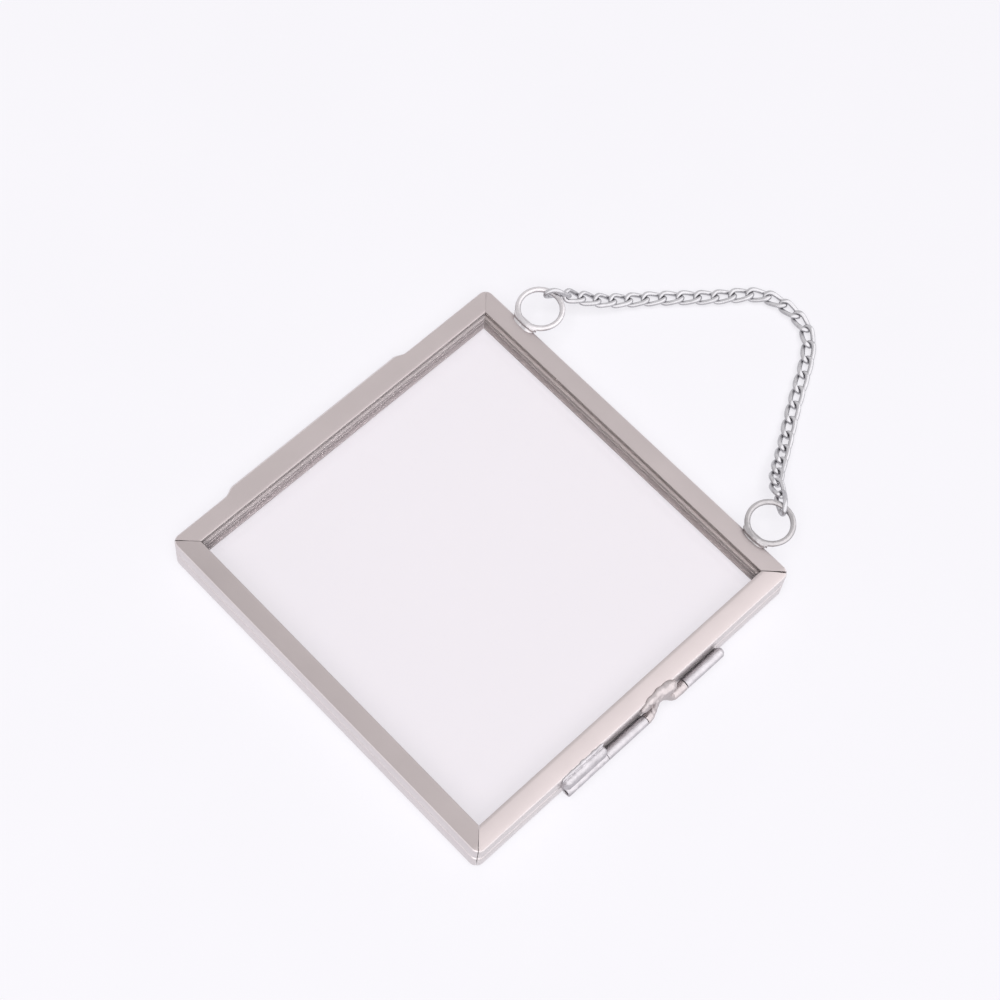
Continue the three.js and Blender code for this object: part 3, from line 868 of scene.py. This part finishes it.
def lengthen(mesh, reach):
    """Moves the two ends of a mesh apart along Y, each by the reach."""
    low = min(vertex.co.y for vertex in mesh.vertices)
    high = max(vertex.co.y for vertex in mesh.vertices)
    for vertex in mesh.vertices:
        vertex.co.y += reach * (2 * (vertex.co.y - low) / (high - low) - 1)


def add_drops(mesh, drops, base=0.0):
    """Adds drops of solder by their middles and radii in millimetres, cut flat at the base."""
    work = bmesh.new()
    work.from_mesh(mesh)
    for middle, radii in drops:
        place = Matrix.Translation(Vector(middle) * MM) @ Matrix.Diagonal(Vector(radii) * MM).to_4x4()
        drop = bmesh.ops.create_icosphere(work, subdivisions=DROP_LEVELS, radius=1.0, matrix=place)
        for vertex in drop["verts"]:
            vertex.co.z = max(vertex.co.z, base)
    work.to_mesh(mesh)
    work.free()


def blunt_foot(mesh, middle_x):
    """Takes the thin tips off a ring's solder foot, which lies under the wire at the edge of the face."""
    for vertex in mesh.vertices:
        beyond = abs(vertex.co.x - middle_x) - FOOT_REACH
        if beyond > 0 and vertex.co.y < TOP + FOOT_BEHIND:
            vertex.co.x = middle_x + math.copysign(FOOT_REACH + FOOT_SHARE * beyond, vertex.co.x - middle_x)


def blunt_peak(mesh):
    """Presses the crimp's peak down towards the face."""
    ceiling = FACE_HEIGHT + PEAK_RISE
    for vertex in mesh.vertices:
        vertex.co.z = min(vertex.co.z, ceiling + PEAK_SHARE * (vertex.co.z - ceiling))


def melted(piece, grid, passes, lump, lump_size, seed):
    """A solid and its drops melted into one soft skin, with uneven lumps."""
    remesh = piece.modifiers.new("melt", "REMESH")
    remesh.mode = "VOXEL"
    remesh.voxel_size = grid
    soften = piece.modifiers.new("soften", "SMOOTH")
    soften.factor = SOFTENING
    soften.iterations = passes
    mesh = take_mesh(piece)
    offset = Vector((seed, 2.0 * seed, 0))
    moved = []
    for vertex in mesh.vertices:
        swelling = lump * noise.noise(vertex.co / lump_size + offset)
        moved.extend(vertex.co + vertex.normal * swelling)
    mesh.vertices.foreach_set("co", moved)
    mesh.update()
    smooth_all_over(mesh)
    return mesh


def drops_on_crimp():
    """Drops of solder down the crimp, from its top over the edge of the face."""
    edge_x = RIGHT / MM
    edge_z = FACE_HEIGHT / MM
    middle_y = corners("front_hinge_knuckle_crimped")[0].y / MM + CRIMP_MIDDLE
    return [
        ((edge_x + out, middle_y + up, edge_z + over), radii)
        for (out, up, over), radii in CRIMP_DROPS
    ]


def drops_on_first_knuckle():
    """Small drops along its rim, and the bead of solder that joins it to the wall."""
    edge_x = RIGHT / MM
    edge_z = FACE_HEIGHT / MM
    start_y = corners("front_hinge_knuckle_lower")[0].y / MM
    drops = []
    for place, size in enumerate(RIM_DROP_SIZES):
        drop_y = start_y + RIM_DROP_START + RIM_DROP_STEP * place
        middle = (edge_x + RIM_DROP_OUT, drop_y, edge_z - RIM_DROP_DOWN)
        drops.append((middle, (size, RIM_DROP_HALF_LENGTH, size)))
    for place in range(BEAD_DROPS):
        drop_y = start_y + BEAD_DROP_START + BEAD_DROP_STEP * place
        middle = (edge_x + BEAD_DROP_OUT, drop_y, edge_z - BEAD_DROP_DOWN)
        drops.append((middle, BEAD_DROP_RADII))
    return drops


# A knuckle of the hinge: how soft and lumpy its skin is, its drops, and how much longer than the CAD's it is
Knuckle = namedtuple("Knuckle", "node body metal passes lump seed drops longer")


def make_hinge():
    """The knuckles, soldered and crimped, and the pins in them."""
    first = "front_hinge_knuckle_lower"
    crimped = "front_hinge_knuckle_crimped"
    second = "rear_hinge_knuckle_middle"
    last = "rear_hinge_knuckle_upper"
    knuckles = [
        Knuckle(first, "front_frame", SOLDER, 5, 0.07 * MM, 11.0, drops_on_first_knuckle(), 0.12 * MM),
        Knuckle(crimped, "front_frame", CRIMP, 8, 0.12 * MM, 23.0, drops_on_crimp(), 0.10 * MM),
        Knuckle(second, "rear_frame", SOLDER, 3, 0.02 * MM, 37.0, [], 0.12 * MM),
        Knuckle(last, "rear_frame", SOLDER, 3, 0.02 * MM, 41.0, [], 0.0),
    ]
    for knuckle in knuckles:
        name = f"{knuckle.node}_soldered"
        solid = copy_of(knuckle.node, name)
        blunt_peak(solid.data)
        lengthen(solid.data, knuckle.longer)
        add_drops(solid.data, knuckle.drops)
        mesh = melted(solid, HINGE_GRID, knuckle.passes, knuckle.lump, HINGE_LUMP_SIZE, knuckle.seed)
        add_piece(name, mesh, [knuckle.metal], knuckle.body, [knuckle.node])
    for node in ("hinge_pin_lower", "hinge_pin_upper"):
        paint(node, SOLDER)


def make_rings():
    """The two hanging rings with their solder, which runs further onto the face at the left one."""
    rings = [
        # The left ring's metal is the lit copy and the right ring's the shaded copy: painted light and shade
        ("hanging_ring_left", LEFT_RING, 3.0, 0.4),
        ("hanging_ring_right", RIGHT_RING, 8.0, 0.1),
    ]
    for node, wire, seed, onto_face in rings:
        name = f"{node}_soldered"
        low, high = corners(node)
        middle = (low.x + high.x) / 2 / MM
        drop_y = TOP / MM - onto_face
        drop_z = FACE_HEIGHT / MM - RING_DROP_DOWN
        drops = [
            ((middle - RING_DROP_SPREAD, drop_y, drop_z), RING_DROP_RADII),
            ((middle + RING_DROP_SPREAD, drop_y, drop_z), RING_DROP_RADII),
        ]
        solid = copy_of(node, name)
        blunt_foot(solid.data, middle * MM)
        add_drops(solid.data, drops, FACE_HEIGHT - RING_DROP_SINK)
        mesh = melted(solid, RING_GRID, RING_PASSES, RING_LUMP, RING_LUMP_SIZE, seed)
        add_piece(name, mesh, [wire], "front_frame", [node])


def make_chain():
    """Every link with round, smooth wire."""
    links = sorted(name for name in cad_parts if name.startswith("chain_link_"))
    for node in links:
        mesh = rounded_wire(node, f"{node}_wire")
        add_piece(f"{node}_wire", mesh, [CHAIN], "chain", [node])


def dress_inner_pieces():
    """The two panes and the catch bead keep their CAD shape."""
    paint("front_glass_pane", GLASS)
    paint("rear_glass_pane", GLASS)
    # The catch bead takes the left face's metal, with that side's painted light share
    paint("rear_catch_bead", RAIL_MATERIALS["left"][FACE_METAL])


# Studio

def make_floor():
    """A wide pale floor under the frame."""
    work = bmesh.new()
    ends = ((-1, -1), (1, -1), (1, 1), (-1, 1))
    verts = [work.verts.new((x * FLOOR_REACH, y * FLOOR_REACH, 0)) for x, y in ends]
    work.faces.new(verts)
    mesh = bpy.data.meshes.new("floor")
    work.to_mesh(mesh)
    work.free()
    floor = bpy.data.objects.new("floor", mesh)
    bpy.context.scene.collection.objects.link(floor)
    floor.location.z = cad_box[0][2] - FLOOR_DROP
    floor.data.materials.append(floor_paper())


def make_key_light():
    """One large soft light beside the camera, so that its shadows fall behind the frame."""
    lamp = bpy.data.lights.new("key_softbox", "AREA")
    lamp.shape = "SQUARE"
    lamp.size = KEY_SIZE
    lamp.energy = KEY_POWER
    light = bpy.data.objects.new("key_softbox", lamp)
    bpy.context.scene.collection.objects.link(light)
    aim = KEY_AIM.normalized()
    light.location = Vector((0, MIDDLE_Y, 0)) + aim * KEY_DISTANCE
    light.rotation_euler = aim.to_track_quat("Z", "Y").to_euler()
    light.visible_glossy = False


def world_math(tree, operation, first, second):
    """One sum, product, quotient or maximum of two sockets or numbers."""
    node = tree.nodes.new("ShaderNodeMath")
    node.operation = operation
    for socket, value in zip(node.inputs, (first, second)):
        if isinstance(value, float):
            socket.default_value = value
        else:
            tree.links.new(value, socket)
    return node.outputs[0]


def world_ramp(tree, value, start, end, level):
    """0 up to the start, the level from the end on, and an S between."""
    node = tree.nodes.new("ShaderNodeMapRange")
    node.interpolation_type = "SMOOTHSTEP"
    node.inputs["From Min"].default_value = start
    node.inputs["From Max"].default_value = end
    node.inputs["To Max"].default_value = level
    tree.links.new(value, node.inputs["Value"])
    return node.outputs["Result"]


def make_world():
    """A pale tent: white behind the frame, dim as a light, and brighter on one side in the metal."""
    world = bpy.data.worlds.new("studio_tent")
    world.use_nodes = True
    tree = world.node_tree
    direction = tree.nodes.new("ShaderNodeTexCoord")
    split = tree.nodes.new("ShaderNodeSeparateXYZ")
    tree.links.new(direction.outputs["Generated"], split.inputs[0])
    rise = world_math(tree, "MAXIMUM", split.outputs["Z"], LOWEST_RISE)
    across = world_math(tree, "DIVIDE", split.outputs["X"], rise)
    beyond = world_math(tree, "DIVIDE", split.outputs["Y"], rise)
    hinge_side = world_ramp(tree, across, *HINGE_SIDE_ZONE)
    lip_side = world_ramp(tree, across, *LIP_SIDE_ZONE)
    far_side = world_ramp(tree, beyond, *FAR_ZONE)
    near_side = world_ramp(tree, beyond, *NEAR_ZONE)
    left_and_right = world_math(tree, "ADD", hinge_side, lip_side)
    near_and_far = world_math(tree, "ADD", near_side, far_side)
    zones = world_math(tree, "ADD", left_and_right, near_and_far)
    rays = tree.nodes.new("ShaderNodeLightPath")
    zones = world_math(tree, "MULTIPLY", zones, rays.outputs["Is Glossy Ray"])
    shown = world_math(tree, "MAXIMUM", rays.outputs["Is Camera Ray"], rays.outputs["Is Transmission Ray"])
    shown = world_math(tree, "MAXIMUM", shown, rays.outputs["Is Glossy Ray"])
    level = world_ramp(tree, shown, 0.0, 1.0, 1.0 - FILL_LEVEL)
    level = world_math(tree, "ADD", level, FILL_LEVEL)
    background = tree.nodes["Background"]
    background.inputs["Color"].default_value = TENT_TONE
    tree.links.new(world_math(tree, "ADD", level, zones), background.inputs["Strength"])
    bpy.context.scene.world = world


def make_camera():
    """The camera that took the photograph."""
    back = Vector((
        math.sin(CAMERA_AZIMUTH) * math.cos(CAMERA_ELEVATION),
        -math.cos(CAMERA_AZIMUTH) * math.cos(CAMERA_ELEVATION),
        math.sin(CAMERA_ELEVATION),
    ))
    right = Vector((math.cos(CAMERA_AZIMUTH), math.sin(CAMERA_AZIMUTH), 0))
    up = back.cross(right)
    turn = math.cos(CAMERA_ROLL)
    lean = math.sin(CAMERA_ROLL)
    rolled_right = right * turn + up * lean
    rolled_up = up * turn - right * lean
    optics = bpy.data.cameras.new("camera")
    optics.lens = CAMERA_LENS
    optics.sensor_width = SENSOR_WIDTH
    optics.sensor_fit = "HORIZONTAL"
    optics.clip_start = NEAR_CLIP
    camera = bpy.data.objects.new("camera", optics)
    bpy.context.scene.collection.objects.link(camera)
    turning = Matrix((rolled_right, rolled_up, back)).transposed().to_4x4()
    camera.matrix_world = Matrix.Translation(CAMERA_TARGET + back * CAMERA_DISTANCE) @ turning
    bpy.context.scene.camera = camera


make_camera()
make_world()
make_key_light()
make_floor()
make_rails()
make_hinge()
make_rings()
make_chain()
dress_inner_pieces()

bpy.context.scene.view_settings.view_transform = "Standard"
